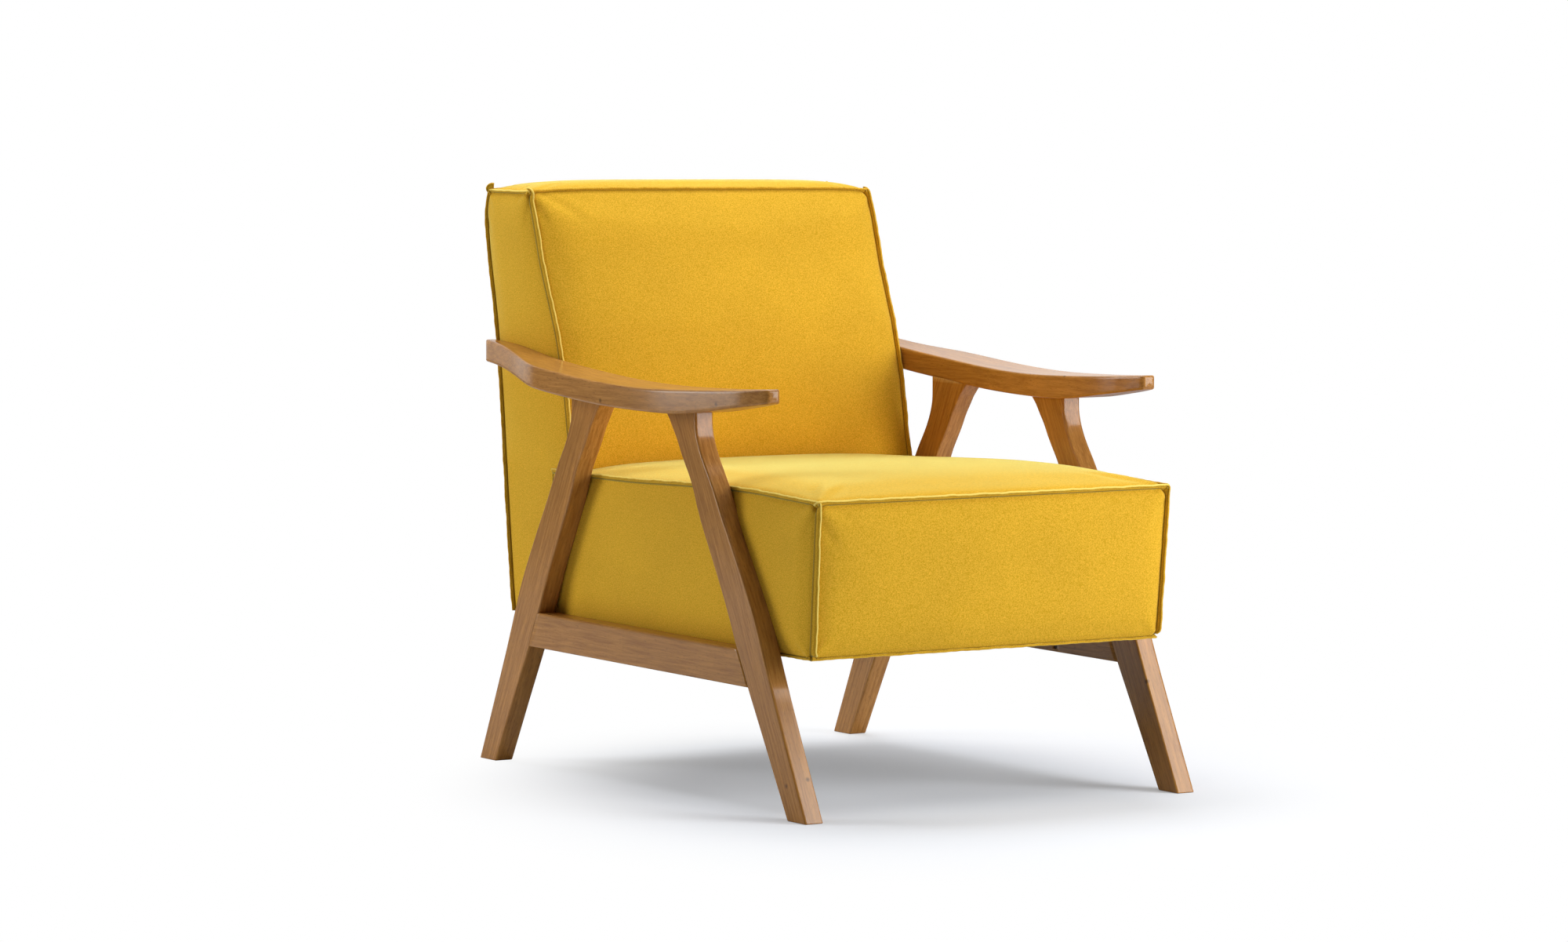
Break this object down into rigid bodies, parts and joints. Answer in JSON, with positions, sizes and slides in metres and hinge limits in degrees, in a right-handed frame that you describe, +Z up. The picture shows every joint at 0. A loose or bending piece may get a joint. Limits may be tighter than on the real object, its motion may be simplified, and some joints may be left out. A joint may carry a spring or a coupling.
{
  "type": "wooden armchair",
  "caption": "Armchair with open splayed wooden side frames, curved wooden arms and a box-shaped upholstered seat and leaning back with welted seams.",
  "frame": {"origin": "on the floor, in the middle of the chair's footprint", "axes": "+X towards the sitter's left, -Y towards the front of the chair, +Z up"},
  "size_m": [0.6906, 0.8549, 0.7841],
  "materials": {
    "stained_beech": "satin",
    "raw_timber": "matte",
    "cover_fabric": "matte",
    "foam": "matte",
    "felt": "matte",
    "black_cloth": "matte",
    "liner_board": "matte",
    "clip_plastic": "matte",
    "zinc_steel": "satin"
  },
  "bodies": {
    "root": {"left_front_leg": "stained_beech", "left_rear_leg": "stained_beech", "left_side_rail": "stained_beech", "left_arm": "stained_beech", "right_front_leg": "stained_beech", "right_rear_leg": "stained_beech", "right_side_rail": "stained_beech", "right_arm": "stained_beech", "rail_dowels": "raw_timber", "arm_dowels": "raw_timber", "rail_plugs": "raw_timber", "threaded_inserts": "zinc_steel", "frame_bolts": "zinc_steel", "bolt_washers": "zinc_steel", "seat_left_board": "raw_timber", "seat_right_board": "raw_timber", "seat_front_board": "raw_timber", "seat_rear_board": "raw_timber", "seat_corner_blocks": "raw_timber", "seat_springs": "zinc_steel", "spring_clips": "clip_plastic", "spring_felt": "felt", "seat_foam": "foam", "seat_front_padding": "foam", "seat_left_padding": "foam", "seat_right_padding": "foam", "seat_cover": "cover_fabric", "seat_welt": "cover_fabric", "back_left_stile": "raw_timber", "back_right_stile": "raw_timber", "back_top_board": "raw_timber", "back_bottom_board": "raw_timber", "back_lumbar_board": "raw_timber", "back_straps": "black_cloth", "back_foam": "foam", "back_left_padding": "foam", "back_right_padding": "foam", "back_top_padding": "foam", "back_liner": "liner_board", "back_cover": "cover_fabric", "back_welt": "cover_fabric", "back_bolts": "zinc_steel", "back_nuts": "zinc_steel", "dust_cover": "black_cloth"}
  },
  "joints": []
}
